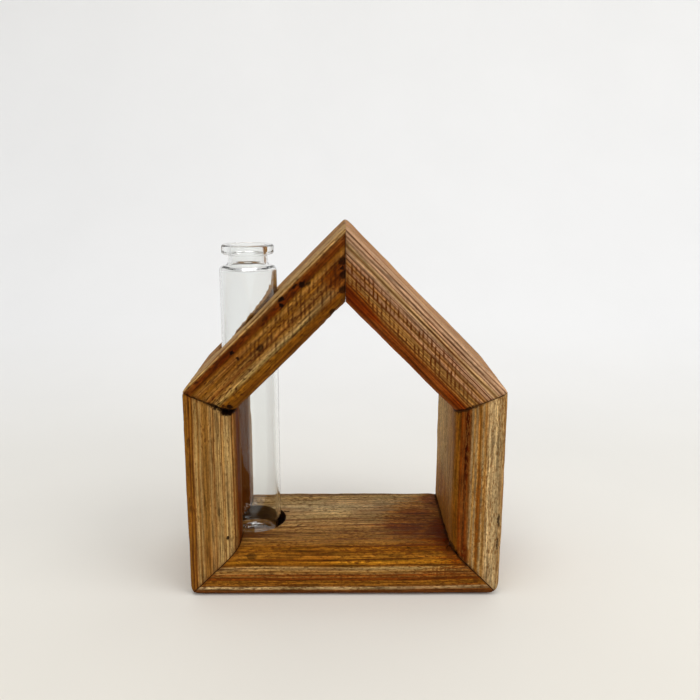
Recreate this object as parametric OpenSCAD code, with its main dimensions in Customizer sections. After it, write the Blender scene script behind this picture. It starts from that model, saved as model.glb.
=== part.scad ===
// House-shaped bud vase. Five mitred boards stand round an open window, and a
// glass vial drops through the left roof board, down a channel in the left
// post, into a shallow seat in the sill. Brads hold the glued mitres.
// Millimetres, +Z up, +X to the right seen from the front, +Y to the back. The
// origin is the middle of the underside of the sill.

/* [House frame] */
// Width across the outer faces of the two posts
frame_w = 119; // [100:1:160]
// Height of the outer eave corners above the table
eave_h = 81; // [70:1:110]
// Slope of both roof halves above the horizontal, in degrees
roof_pitch = 45; // [38:1:52]
// Depth of every board from front to back
board_d = 58; // [48:1:80]
// Thickness of every board
board_t = 19; // [16:0.5:23]
// Width of the glue line left in each mitre
glue_gap = 0.2; // [0.1:0.05:0.4]

/* [Worn edges] */
// Radius of the long edges that face the window
inner_round = 5.5; // [3:0.5:7]
// Radius of the long edges on the outside of the house
outer_round = 3; // [1.5:0.5:4]
// Radius of the two bottom corners seen from the front
foot_round = 4; // [2:0.5:6]
// Radius of the two eave corners seen from the front
eave_round = 3; // [1:0.5:6]
// Radius of the ridge seen from the front
ridge_round = 1.5; // [0.5:0.5:4]

/* [Vial bore] */
// Gap between the vial and the bore all round
vial_clear = 1.7; // [0.5:0.1:3]
// Distance of the bore's axis from the inner face of the left post
bore_inset = 3; // [1:0.25:6]
// Depth of the seat below the top of the sill
seat_depth = 7; // [4:0.5:11]

/* [Glass vial] */
// Outside diameter of the body
vial_d = 22; // [21:0.5:26]
// Length from the foot to the top of the lip
vial_len = 120; // [100:1:150]
// Thickness of the body's wall
vial_wall = 1.2; // [0.8:0.1:1.8]
// Thickness of the bottom in the middle
vial_bottom = 2; // [1.2:0.1:3]
// Height of the dimple pressed into the underside
dimple_h = 0.8; // [0.3:0.1:1.2]
// Radius between the body and its foot
foot_fillet = 2; // [1:0.25:3]
// Outside diameter of the neck
neck_d = 15.2; // [14.4:0.1:17]
// Diameter of the bore through the neck and lip
neck_bore_d = 12.6; // [11.6:0.1:13.2]
// Length from the top of the lip to the foot of the straight neck
neck_len = 6.5; // [5.5:0.25:12]
// Radius of the shoulder where it meets the body
shoulder_round = 2; // [1.9:0.1:2.4]
// Outside diameter of the lip
lip_d = 20; // [18:0.1:21]
// Height of the lip
lip_h = 3.6; // [2.5:0.1:4.5]
// Radius of the lip's outer edges
lip_round = 0.8; // [0.3:0.1:1.2]
// Radius of the edge round the mouth
mouth_round = 0.5; // [0.2:0.1:1]

/* [Brads] */
// Length of a brad from the top of its head to its point
brad_len = 25; // [20:1:30]
// Diameter of the shank
brad_d = 1.2; // [0.8:0.1:1.6]
// Diameter of the head
brad_head_d = 2; // [1.8:0.1:2.6]
// Height of the head
brad_head_h = 0.6; // [0.4:0.1:1]
// Length of the point
brad_point = 1.8; // [1:0.1:3]
// Depth of the head below the surface of the wood
brad_sink = 0.5; // [0.2:0.1:1]
// Gap between a brad and the wood round it
brad_clear = 0.02; // [0.01:0.01:0.05]
// Height of the base brads above the table
base_brad_z = 8; // [6:0.5:9]
// Distance of the eave brads from the outer face of the post
eave_brad_x = 7; // [5:0.5:8]
// Distance of the ridge brads from the ridge, down the slope
ridge_brad_s = 8; // [6:0.5:10]

/* [Hidden] */
// Facets of a full turn, and of each worked arc in an outline
$fn = 96;
arc_steps = 8;
// How far every cutter runs past what it cuts
overrun = 2;
// Brads stand at this share of the depth either side of the middle
brad_y_share = 1 / 3;
// The blunt end of a brad's point, as a share of the shank's radius
brad_tip_share = 1 / 6;
// The dimple in the vial's underside reaches this share of the way to its foot
dimple_share = 0.85;
// The radius inside the vial's foot, as a share of the one outside
inner_foot_share = 0.9;

left = -1;
right = 1;
ridge_h = eave_h + frame_w / 2 * tan(roof_pitch);
seat_z = board_t - seat_depth;
vial_r = vial_d / 2;
bore_r = vial_r + vial_clear;
bore_x = -(frame_w / 2 - board_t - bore_inset);
brad_y = board_d * brad_y_share;

// The outer corners seen from the front as [x, z], anticlockwise from bottom left
corners = [
    [-frame_w / 2, 0], [frame_w / 2, 0], [frame_w / 2, eave_h], [0, ridge_h],
    [-frame_w / 2, eave_h]
];
corner_rounds = [foot_round, foot_round, eave_round, ridge_round, eave_round];
sides = len(corners);

// Each board is known by the corner where its outer face starts
sill_start = 0;
right_post_start = 1;
right_rafter_start = 2;
left_rafter_start = 3;
left_post_start = 4;

function unit(v) = v / norm(v);
function corner(i) = corners[(i + sides) % sides];
function corner_round(i) = corner_rounds[i % sides];
function along(i) = unit(corner(i + 1) - corner(i));
function heading(i) = atan2(along(i).y, along(i).x);
// Half the inside angle at a corner, and the way from it into the corner's mitre
function half_angle(i) = acos(along(i) * -along(i - 1)) / 2;
function inward(i) = unit(along(i) - along(i - 1));
// How far a board's end moves back along it to leave half a glue line
function setback(i) = glue_gap / 2 / sin(half_angle(i));
// The points of an arc about centre c, from angle a to angle b
function arc(c, r, a, b) = [
    for (k = [0:arc_steps])
        let (t = a + (b - a) * k / arc_steps) c + r * [cos(t), sin(t)]
];

// What is cut off an outline's corner at the origin to round it
module edge_notch(r) {
    difference() {
        translate([-overrun, -overrun]) square(r + overrun);
        translate([r, r]) circle(r);
    }
}

// Cross-section of a board: x is the depth, y runs from its outer face inwards
module board_section() {
    difference() {
        translate([-board_d / 2, 0]) square([board_d, board_t]);
        for (flip = [0, 1])
            mirror([flip, 0]) translate([-board_d / 2, 0]) {
                edge_notch(outer_round);
                translate([0, board_t]) mirror([0, 1]) edge_notch(inner_round);
            }
    }
}

// A length of board behind outer face i, longer than the face at both ends
module bar(i) {
    length = norm(corner(i + 1) - corner(i));
    translate([corner(i).x, 0, corner(i).y])
        rotate([0, -heading(i), 0])
            translate([-overrun, 0, 0])
                rotate([90, 0, 90])
                    linear_extrude(length + 2 * overrun) board_section();
}

// A shape drawn as seen from the front, made deeper than the boards
module through() {
    rotate([90, 0, 0])
        linear_extrude(board_d + 2 * overrun, center = true) children();
}

// The space between the two mitres of board i, seen from the front
module mitre_wedge(i) {
    start = corner(i) + along(i) * setback(i);
    end = corner(i + 1) - along(i) * setback(i + 1);
    reach = board_t / sin(half_angle(i)) + overrun;
    far_reach = board_t / sin(half_angle(i + 1)) + overrun;
    polygon([
        start - overrun * inward(i), end - overrun * inward(i + 1),
        end + far_reach * inward(i + 1), start + reach * inward(i)
    ]);
}

// What is sanded off outer corner i, seen from the front
module corner_notch(i) {
    r = corner_round(i);
    centre = corner(i) + inward(i) * r / sin(half_angle(i));
    run = r / tan(half_angle(i));
    difference() {
        polygon([
            corner(i) - overrun * inward(i), corner(i) + run * along(i), centre,
            corner(i) - run * along(i - 1)
        ]);
        translate(centre) circle(r);
    }
}

module mitred_board(i) {
    difference() {
        intersection() {
            bar(i);
            through() mitre_wedge(i);
        }
        through() corner_notch(i);
        through() corner_notch(i + 1);
    }
}

// The one drilled hole: through the roof, down the post and into the sill
module vial_bore() {
    translate([bore_x, 0, seat_z]) cylinder(h = ridge_h, r = bore_r);
}

// A brad hanging from the origin, head up
module brad() {
    translate([0, 0, -brad_head_h]) cylinder(h = brad_head_h, d = brad_head_d);
    translate([0, 0, brad_point - brad_len])
        cylinder(h = brad_len - brad_point - brad_head_h, d = brad_d);
    translate([0, 0, -brad_len])
        cylinder(h = brad_point, r1 = brad_tip_share * brad_d / 2, r2 = brad_d / 2);
}

// The hole a brad leaves, open above its head
module brad_hole() {
    sunk = brad_head_h + brad_clear;
    translate([0, 0, -sunk])
        cylinder(h = sunk + brad_sink + board_t, d = brad_head_d + 2 * brad_clear);
    translate([0, 0, -brad_len - brad_clear])
        cylinder(h = brad_len, d = brad_d + 2 * brad_clear);
}

// Places for the two brads driven level through a post's foot into the sill
module at_base(side) {
    for (y = [-brad_y, brad_y])
        translate([side * (frame_w / 2 - brad_sink), y, base_brad_z])
            rotate([0, side * 90, 0]) children();
}

// Places for the two brads driven down through a rafter into its post
module at_eave(side) {
    surface = eave_h + eave_brad_x * tan(roof_pitch);
    sink = brad_sink + brad_head_d / 2 * tan(roof_pitch);
    for (y = [-brad_y, brad_y])
        translate([side * (frame_w / 2 - eave_brad_x), y, surface - sink]) children();
}

// Places for the two brads that cross the ridge, one square in from each slope
module at_ridge() {
    for (side = [left, right])
        translate([0, side * brad_y, ridge_h])
            rotate([0, side * roof_pitch, 0])
                translate([side * ridge_brad_s, 0, -brad_sink]) children();
}

module sill() {
    color("#8f6a35")
        difference() {
            mitred_board(sill_start);
            vial_bore();
            for (side = [left, right]) at_base(side) brad_hole();
        }
}

module left_post() {
    color("#a07a48")
        difference() {
            mitred_board(left_post_start);
            vial_bore();
            at_base(left) brad_hole();
            at_eave(left) brad_hole();
        }
}

module right_post() {
    color("#a5834f")
        difference() {
            mitred_board(right_post_start);
            at_base(right) brad_hole();
            at_eave(right) brad_hole();
        }
}

module left_rafter() {
    color("#86602a")
        difference() {
            mitred_board(left_rafter_start);
            vial_bore();
            at_eave(left) brad_hole();
            at_ridge() brad_hole();
        }
}

module right_rafter() {
    color("#97683c")
        difference() {
            mitred_board(right_rafter_start);
            at_eave(right) brad_hole();
            at_ridge() brad_hole();
        }
}

// Half the vial's section, from the dimple out along the foot, up to the lip and
// back down the inside. The neck meets the shoulder in a hollow quarter turn.
function vial_section() =
    let (
        neck_r = neck_d / 2,
        mouth_r = neck_bore_d / 2,
        lip_r = lip_d / 2,
        neck_foot = vial_len - neck_len,
        lip_foot = vial_len - lip_h,
        shoulder_x = vial_r - shoulder_round,
        hollow_r = shoulder_x - neck_r,
        inner_hollow_r = shoulder_x - mouth_r,
        inner_shoulder_round = shoulder_round - vial_wall,
        foot_r = vial_r - foot_fillet,
        dimple_r = foot_r * dimple_share,
        dome_r = (pow(dimple_r, 2) + pow(dimple_h, 2)) / (2 * dimple_h),
        dome_angle = asin(dimple_r / dome_r),
        floor_z = dimple_h + vial_bottom,
        inside_r = vial_r - vial_wall,
        inner_foot_r = foot_fillet * inner_foot_share
    )
    concat(
        arc([0, dimple_h - dome_r], dome_r, 90, 90 - dome_angle),
        arc([foot_r, foot_fillet], foot_fillet, -90, 0),
        arc([shoulder_x, neck_foot - hollow_r - shoulder_round], shoulder_round, 0, 90),
        arc([shoulder_x, neck_foot], hollow_r, -90, -180),
        [[neck_r, lip_foot]],
        arc([lip_r - lip_round, lip_foot + lip_round], lip_round, -90, 0),
        arc([lip_r - lip_round, vial_len - lip_round], lip_round, 0, 90),
        arc([mouth_r + mouth_round, vial_len - mouth_round], mouth_round, 90, 180),
        arc([shoulder_x, neck_foot], inner_hollow_r, -180, -90),
        arc(
            [shoulder_x, neck_foot - inner_hollow_r - inner_shoulder_round],
            inner_shoulder_round, 90, 0
        ),
        arc([inside_r - inner_foot_r, floor_z + inner_foot_r], inner_foot_r, 0, -90),
        [[0, floor_z]]
    );

module glass_vial() {
    color("#dfe6e4", 0.35)
        translate([bore_x, 0, seat_z]) rotate_extrude() polygon(vial_section());
}

module left_base_brads() {
    color("#8d9094") at_base(left) brad();
}

module right_base_brads() {
    color("#8d9094") at_base(right) brad();
}

module left_eave_brads() {
    color("#8d9094") at_eave(left) brad();
}

module right_eave_brads() {
    color("#8d9094") at_eave(right) brad();
}

module ridge_brads() {
    color("#8d9094") at_ridge() brad();
}

sill();
left_post();
right_post();
left_rafter();
right_rafter();
glass_vial();
left_base_brads();
right_base_brads();
left_eave_brads();
right_eave_brads();
ridge_brads();
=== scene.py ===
import math
import random

import bpy
from mathutils import Matrix, Vector


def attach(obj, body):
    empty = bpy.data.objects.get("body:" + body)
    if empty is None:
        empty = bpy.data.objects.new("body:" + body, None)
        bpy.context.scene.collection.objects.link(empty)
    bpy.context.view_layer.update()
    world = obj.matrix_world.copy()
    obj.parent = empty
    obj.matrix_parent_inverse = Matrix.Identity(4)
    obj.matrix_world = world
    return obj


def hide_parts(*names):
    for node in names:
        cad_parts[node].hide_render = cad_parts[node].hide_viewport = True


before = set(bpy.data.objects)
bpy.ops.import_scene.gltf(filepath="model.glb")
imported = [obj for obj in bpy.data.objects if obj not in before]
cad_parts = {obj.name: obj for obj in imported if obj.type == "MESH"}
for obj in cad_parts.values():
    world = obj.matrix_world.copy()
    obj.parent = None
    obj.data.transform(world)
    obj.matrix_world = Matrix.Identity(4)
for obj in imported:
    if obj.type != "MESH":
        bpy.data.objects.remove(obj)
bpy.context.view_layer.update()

mm = 0.001  # the sizes below are in millimetres, the scene is in metres
near = 1e-5  # places this many metres apart count as one
scene = bpy.context.scene
scene.view_settings.view_transform = "Standard"


def hexColour(text):
    # sRGB hex to the linear colour that the nodes work in
    parts = [int(text[i:i + 2], 16) / 255 for i in (0, 2, 4)]
    return [c / 12.92 if c <= 0.04045 else ((c + 0.055) / 1.055) ** 2.4 for c in parts] + [1]


def onlyThis(piece):
    if bpy.context.object and bpy.context.object.mode != "OBJECT":
        bpy.ops.object.mode_set(mode="OBJECT")
    bpy.ops.object.select_all(action="DESELECT")
    piece.select_set(True)
    bpy.context.view_layer.objects.active = piece


def bakePlace(piece):
    onlyThis(piece)
    bpy.ops.object.transform_apply(location=True, rotation=True, scale=True)


def pickEdges(piece, wanted):
    # leaves edit mode on, with the edges selected whose two ends pass the test
    onlyThis(piece)
    bpy.ops.object.mode_set(mode="EDIT")
    bpy.ops.mesh.select_mode(type="EDGE")
    bpy.ops.mesh.select_all(action="DESELECT")
    bpy.ops.object.mode_set(mode="OBJECT")
    points = piece.data.vertices
    for edge in piece.data.edges:
        edge.select = wanted(points[edge.vertices[0]].co, points[edge.vertices[1]].co)
    bpy.ops.object.mode_set(mode="EDIT")


def applyModifier(piece, kind, **settings):
    onlyThis(piece)
    bpy.ops.object.modifier_add(type=kind)
    modifier = piece.modifiers[-1]
    for key, value in settings.items():
        setattr(modifier, key, value)
    bpy.ops.object.modifier_apply(modifier=modifier.name)


# materials: one small function adds every node


def setInputs(tree, node, inputs):
    # an input may be a value, a socket or a whole node
    for key, value in inputs.items():
        if isinstance(value, bpy.types.Node):
            value = next(out for out in value.outputs if out.enabled)
        if isinstance(value, bpy.types.NodeSocket):
            tree.links.new(value, node.inputs[key])
        else:
            node.inputs[key].default_value = value


def addNode(tree, kind, inputs=None, stops=None, **settings):
    # adds one node; stops fill a ramp
    node = tree.nodes.new(kind)
    for key, value in settings.items():
        setattr(node, key, value)
    if stops:
        elements = node.color_ramp.elements
        elements[0].position, elements[0].color = stops[0]
        elements[-1].position, elements[-1].color = stops[-1]
        for position, colour in stops[1:-1]:
            elements.new(position).color = colour
    setInputs(tree, node, inputs or {})
    return node


def newMaterial(name):
    # gives the material, its tree, its shader and the place of each point on the piece in metres
    material = bpy.data.materials.new(name)
    material.use_nodes = True
    tree = material.node_tree
    place = addNode(tree, "ShaderNodeTexCoord").outputs["Object"]
    return material, tree, tree.nodes["Principled BSDF"], place


# the room first: camera, paper sweep, lamps

camera = {
    "place": (-1.2, -298.5, 158.7),
    "turn": 0.6025,      # degrees to the right
    "tip": 12.88,        # degrees down
    "roll": 0.204,
    "lens": 39.83, "sensor": 36,
    "nearest": 10, "farthest": 20000,
}
bpy.ops.object.camera_add()
eye = bpy.context.object
eye.name = "Camera"
eye.data.sensor_width = camera["sensor"]
eye.data.lens = camera["lens"]
eye.matrix_world = (
    Matrix.Translation(Vector(camera["place"]) * mm)
    @ Matrix.Rotation(math.radians(-camera["turn"]), 4, "Z")
    @ Matrix.Rotation(math.radians(90 - camera["tip"]), 4, "X")
    @ Matrix.Rotation(math.radians(camera["roll"]), 4, "Z")
)
eye.data.clip_start = camera["nearest"] * mm
eye.data.clip_end = camera["farthest"] * mm
scene.camera = eye

room = {
    "half": 3000,
    "sweepStart": 190,   # the table turns up into the wall this far behind the vase
    "sweepRadius": 420, "sweepSteps": 32,
    "wallHeight": 1500,
    "nearPaper": "e6e1d6", "midPaper": "e7e5e0", "farPaper": "efefef",
    "nearAt": -200, "farAt": 350, "midShare": 0.6,   # where the paper's colours change, front to back
    "scuffScale": 9, "scuff": 0.03,
    "dull": 0.75, "sheen": 0.2,
    "sky": "f6f7f8",
    "skyStrength": 0.68,
}


def paperSweep(name):
    # matt painted board under the vase: pale and almost without shine, with faint uneven patches
    material, tree, shader, place = newMaterial(name)
    patches = addNode(tree, "ShaderNodeTexNoise", {
        "Vector": place, "Scale": room["scuffScale"], "Detail": 3})
    split = addNode(tree, "ShaderNodeSeparateXYZ", {0: place})
    back = addNode(tree, "ShaderNodeMapRange", {
        "Value": split.outputs[1], "From Min": room["nearAt"] * mm, "From Max": room["farAt"] * mm})
    tint = addNode(tree, "ShaderNodeValToRGB", {0: back}, stops=[
        (0, hexColour(room["nearPaper"])), (room["midShare"], hexColour(room["midPaper"])),
        (1, hexColour(room["farPaper"]))])
    worn = addNode(tree, "ShaderNodeMapRange", {
        "Value": patches, "To Min": 1 - room["scuff"], "To Max": 1 + room["scuff"]})
    soft = addNode(tree, "ShaderNodeVectorMath", {0: tint, "Scale": worn}, operation="SCALE")
    setInputs(tree, shader, {
        "Base Color": soft, "Roughness": room["dull"], "Specular IOR Level": room["sheen"]})
    return material


half = room["half"] * mm
backEdge = room["sweepStart"] * mm
bpy.ops.object.select_all(action="DESELECT")
bpy.ops.mesh.primitive_plane_add(size=2 * half, location=(0, backEdge - half, 0))
sweep = bpy.context.object
sweep.name = "Table_sweep"
bakePlace(sweep)
pickEdges(sweep, lambda a, b: min(a.y, b.y) > backEdge - near)
bpy.ops.mesh.spin(steps=room["sweepSteps"], angle=math.radians(90), axis=(-1, 0, 0),
                  center=(0, backEdge, room["sweepRadius"] * mm))
bpy.ops.mesh.extrude_region_move(TRANSFORM_OT_translate={"value": (0, 0, room["wallHeight"] * mm)})
bpy.ops.object.mode_set(mode="OBJECT")
bpy.ops.object.shade_smooth()
sweep.data.materials.append(paperSweep("Matt_white_painted_board"))

world = bpy.data.worlds.new("Pale_room")
scene.world = world
world.use_nodes = True
sky = world.node_tree.nodes["Background"]
sky.inputs["Color"].default_value = hexColour(room["sky"])
sky.inputs["Strength"].default_value = room["skyStrength"]

lamps = {
    "Window_right": {
        "place": (800, -450, 850), "aim": (0, 0, 60), "size": 900, "watts": 4.5, "tint": "ffffff"},
    "Ceiling": {
        "place": (-80, -330, 1200), "aim": (0, 60, 0), "size": 800, "watts": 4.1, "tint": "fffdfa"},
}
for name, lamp in lamps.items():
    spot = Vector(lamp["place"]) * mm
    look = (Vector(lamp["aim"]) * mm - spot).to_track_quat("-Z", "Y")
    bpy.ops.object.light_add(type="AREA", location=spot, rotation=look.to_euler())
    light = bpy.context.object
    light.name = name
    light.data.shape = "DISK"
    light.data.size = lamp["size"] * mm
    light.data.energy = lamp["watts"]
    light.data.color = hexColour(lamp["tint"])[:3]
print("room, camera and lamps ready")

# the five boards share one section and one drilled hole

houseShape = {
    "depth": 58, "thickness": 19,
    "innerRound": 5.5, "outerRound": 3, "roundFaces": 8,
    "spare": 5,          # the blank is this much longer at each end until the mitres are cut
    "glueLine": 0.04,    # what shows of the joint; the boards are closed up tight
    "cutNear": 0.001,    # a point this close to a cut lies on it
    "cornerFlats": 4,    # flats on one board's half of a sanded corner
    "boreRadius": 12.7, "boreX": -37.5, "seatHeight": 12, "boreFaces": 96, "drillLength": 200,
    "pitRadius": 1.12, "pitDeep": 0.5, "pitLength": 4, "pitFaces": 32,
}

# hand work and wear, the same kind on every board
wear = {
    # each relief: its name, the size of its bumps and their height
    "reliefs": [("hand sanding", (26, 14, 14), 0.55), ("edge wear", (8, 4, 4), 0.3),
                ("soft grain", (14, 1.8, 1.8), 0.24)],
    "reliefStep": 3,     # a relief is read this far aside for each letter of its name, so no two lie alike
    "sandedSmooth": 0.5,
    "flushShare": 0.25, "flushStart": 0.3, "flushFade": 3,   # the reliefs fade towards the mitres
    "soleFade": 2,       # and towards the flat sole
    "raggedSize": (1.9, 1.9, 1.9), "raggedReach": 1.5, "raggedLevel": 0.75, "raggedSkin": 2,
    "chipBumps": (2.2, 1.6, 1.6), "chipTorn": 0.9, "chipTilt": 0.3,
    "smoothAngle": 40,
}

# waxed colours of old pine
tones = {
    "straw": "c29c60", "sand": "c8a468", "wheat": "d2ae70", "blush": "c6a07c", "tan": "b4864a",
    "honey": "a67636", "gold": "a46c22", "amber": "8e5a16", "rose": "b98b66", "umber": "7c4c1e",
    "russet": "74380a", "rust": "8e4a14", "olive": "a88c50", "drift": "a0865e", "khaki": "cbab7a",
    "ochre": "b4781e", "cocoa": "5c2e0c", "soot": "3c1a08", "stain": "a8541e", "tea": "ecc68c",
    "sienna": "98501c", "cream": "e2c48e", "madder": "54260e", "ink": "1a0b04",
}


def endCuts(plan, end):
    # as (point, outward normal): first the mitre, then the flats that make the sanded corner
    half = math.radians(plan["mitres"][end])
    run = 1 if end == 0 else -1
    origin = Vector((0 if end == 0 else plan["length"], 0, 0))
    normal = Vector((-run * math.sin(half), 0, math.cos(half)))
    cuts = [(origin - normal * houseShape["glueLine"] / 2, normal)]
    radius = plan["corners"][end]
    centre = origin + Vector((run * radius / math.tan(half), 0, radius))
    flats = houseShape["cornerFlats"]
    for step in range(1, flats + 1):
        turn = math.radians(-90) - (math.pi / 2 - half) * step / flats
        spoke = Vector((run * math.cos(turn), 0, math.sin(turn)))
        cuts.append((centre + spoke * radius, spoke))
    return cuts


def intoWorld(plan):
    x, z = plan["start"]
    return (Matrix.Translation(Vector((x, 0, z)) * mm)
            @ Matrix.Rotation(math.radians(-plan["heading"]), 4, "Y"))


def planeBlank(name, plan):
    # a planed blank lying on its outer face, a little longer than the board
    spare = houseShape["spare"] * mm
    length, depth, thickness = plan["length"] * mm, houseShape["depth"] * mm, houseShape["thickness"] * mm
    bpy.ops.object.select_all(action="DESELECT")
    bpy.ops.mesh.primitive_cube_add(size=1, location=(length / 2, 0, thickness / 2),
                                    scale=(length + 2 * spare, depth, thickness))
    board = bpy.context.object
    board.name = name
    bakePlace(board)
    # long edges: the inner ones are sanded much rounder than the outer ones
    for height, radius in ((0, houseShape["outerRound"]), (thickness, houseShape["innerRound"])):
        pickEdges(board, lambda a, b: abs(a.x - b.x) > near and abs(a.z - height) < near
                  and abs(b.z - height) < near and abs(abs(a.y) - depth / 2) < near)
        bpy.ops.mesh.bevel(offset=radius * mm, segments=houseShape["roundFaces"], affect="EDGES")
    bpy.ops.object.mode_set(mode="OBJECT")
    return board


def cutMitres(board, plan):
    # both mitres, and the flats that make each sanded corner
    onlyThis(board)
    bpy.ops.object.mode_set(mode="EDIT")
    world = intoWorld(plan)
    for point, normal in endCuts(plan, 0) + endCuts(plan, 1):
        bpy.ops.mesh.select_all(action="SELECT")
        bpy.ops.mesh.bisect(plane_co=world @ (point * mm), plane_no=world.to_3x3() @ normal,
                            use_fill=True, clear_outer=True, threshold=houseShape["cutNear"] * mm)
    bpy.ops.object.mode_set(mode="OBJECT")


def takeAway(board, cutter):
    applyModifier(board, "BOOLEAN", operation="DIFFERENCE", solver="EXACT", object=cutter)
    bpy.data.objects.remove(cutter)


def knockChips(board, plan, dice):
    # torn fibres and dents: small uneven lumps cut out of the board
    tilt = wear["chipTilt"]
    for x, depth, z, along, across, deep in plan["chips"]:
        bpy.ops.object.select_all(action="DESELECT")
        bpy.ops.mesh.primitive_ico_sphere_add(
            subdivisions=3, radius=mm, location=Vector((x, depth - houseShape["depth"] / 2, z)) * mm,
            rotation=[dice.uniform(-tilt, tilt) for i in range(3)])
        lump = bpy.context.object
        lump.scale = (along, across, deep)
        bakePlace(lump)
        roughen(lump, "torn", wear["chipBumps"], wear["chipTorn"])
        takeAway(board, lump)


reliefTextures = {}


def roughen(piece, relief, size, strength, turn=0, group="", middle=0.5):
    # an empty gives the relief its size and lie; it goes once the relief is in the mesh
    if relief not in reliefTextures:
        reliefTextures[relief] = bpy.data.textures.new(relief, "CLOUDS")
        reliefTextures[relief].noise_scale = 1
        reliefTextures[relief].noise_depth = 2
    aside = wear["reliefStep"] * mm * len(relief)
    bpy.ops.object.empty_add(location=(aside, 0, 0), rotation=(0, turn, 0))
    guide = bpy.context.object
    guide.scale = [s * mm for s in size]
    bpy.context.view_layer.update()
    applyModifier(piece, "DISPLACE", texture=reliefTextures[relief], texture_coords="OBJECT",
                  texture_coords_object=guide, strength=strength * mm, mid_level=middle,
                  vertex_group=group)
    bpy.data.objects.remove(guide)


def weighPoints(piece, name, weightOf):
    # weights in steps of a tenth are fine enough, and far fewer calls
    group = piece.vertex_groups.new(name=name)
    shares = {}
    for point in piece.data.vertices:
        share = round(weightOf(point.co), 1)
        if share > 0:
            shares.setdefault(min(share, 1), []).append(point.index)
    for share, indices in shares.items():
        group.add(indices, share, "REPLACE")


def openPits(board, places):
    # the pit over each sunk brad head, open outwards; lean is how far its axis turns from upright
    out = (houseShape["pitLength"] / 2 - houseShape["pitDeep"]) * mm
    bpy.ops.object.select_all(action="DESELECT")
    pits = []
    for x, y, z, lean in places:
        outwards = Matrix.Rotation(math.radians(lean), 4, "Y") @ Vector((0, 0, 1))
        bpy.ops.mesh.primitive_cylinder_add(
            vertices=houseShape["pitFaces"], radius=houseShape["pitRadius"] * mm,
            depth=houseShape["pitLength"] * mm, rotation=(0, math.radians(lean), 0),
            location=Vector((x, y, z)) * mm + outwards * out)
        pits.append(bpy.context.object)
        bakePlace(pits[-1])
    for pit in pits:
        pit.select_set(True)
    if pits:
        bpy.ops.object.join()
        takeAway(board, bpy.context.object)


def drillBore(board):
    # one drill on the vial's axis: the roof hole, the wall's channel and the seat
    floor = houseShape["seatHeight"] * mm
    length = houseShape["drillLength"] * mm
    bpy.ops.mesh.primitive_cylinder_add(
        vertices=houseShape["boreFaces"], radius=houseShape["boreRadius"] * mm, depth=length,
        location=(houseShape["boreX"] * mm, 0, floor + length / 2))
    drill = bpy.context.object
    bakePlace(drill)
    takeAway(board, drill)


def finishBoard(name, plan):
    dice = random.Random(plan["seed"])
    board = planeBlank(name, plan)
    knockChips(board, plan, dice)
    board.matrix_world = intoWorld(plan)
    bakePlace(board)
    if plan["bored"]:
        drillBore(board)
    # an even skin of small faces, so that wear can be worked into it before the mitres are cut clean
    applyModifier(board, "REMESH", mode="VOXEL", voxel_size=plan["voxel"] * mm)
    applyModifier(board, "SMOOTH", factor=wear["sandedSmooth"], iterations=1)
    turn = math.radians(-plan["heading"])
    toBoard = intoWorld(plan).inverted()
    mitres = [endCuts(plan, end)[0] for end in (0, 1)]

    def fromMitre(place, end):
        point, normal = mitres[end]
        return (point - toBoard @ place / mm).dot(normal)

    def awayFromMitres(place):
        # the boards were sanded flush once glued, and stand on a flat sole
        fromEnd = min(fromMitre(place, 0), fromMitre(place, 1))
        return min(wear["flushShare"] + (fromEnd - wear["flushStart"]) / wear["flushFade"],
                   place.z / mm / wear["soleFade"])

    def onSkin(place):
        local = toBoard @ place / mm
        sides = (houseShape["depth"] / 2 - abs(local.y), local.z, houseShape["thickness"] - local.z)
        return 1 - min(sides) / wear["raggedSkin"]

    weighPoints(board, "flush", awayFromMitres)
    for relief, size, strength in wear["reliefs"]:
        roughen(board, relief, size, strength, turn, "flush")
    cutMitres(board, plan)
    for end in (0, 1):
        weighPoints(board, "torn", lambda place: min(
            1 - fromMitre(place, end) / wear["raggedReach"], onSkin(place)))
        roughen(board, "ragged mitre", wear["raggedSize"], plan["ragged"][end], turn, "torn",
                wear["raggedLevel"])
        board.vertex_groups.remove(board.vertex_groups["torn"])
    board.vertex_groups.clear()
    openPits(board, plan["bradPits"])
    onlyThis(board)
    bpy.ops.object.shade_smooth_by_angle(angle=math.radians(wear["smoothAngle"]))
    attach(board, "frame")
    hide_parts(plan["node"])
    board.data.materials.append(waxedPine(name + "_waxed_reclaimed_pine", plan))
    print(name, "ready with", len(board.data.polygons), "faces")


# the wood's noise patterns, shared by the five boards: how often each repeats in a millimetre (along
# the board, back from its front face, in from its outer face), its own seed, detail and roughness
patterns = {
    "drift": ((0.011, 0.035, 0.035), 0, 2, 0.5),    # the layers wander over about 90 mm
    "ripple": ((0.05, 0.3, 0.3), 3, 2, 0.5),
    # real fibres are 0.04 mm wide, drawn as bundles 0.7 mm wide and 16 mm long so that they show
    "fibre": ((0.06, 1.4, 1.4), 0, 4, 0.66),
    "mottle": ((0.6, 0.95, 0.95), 5, 4, 0.8),       # the sander's faint spots, about 1 mm
    "cloud": ((0.035, 0.1, 0.1), 7, 3, 0.5),        # a few centimetres long
    "dash": ((0.46, 2.1, 2.1), 11, 3, 0.6),
}

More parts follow.
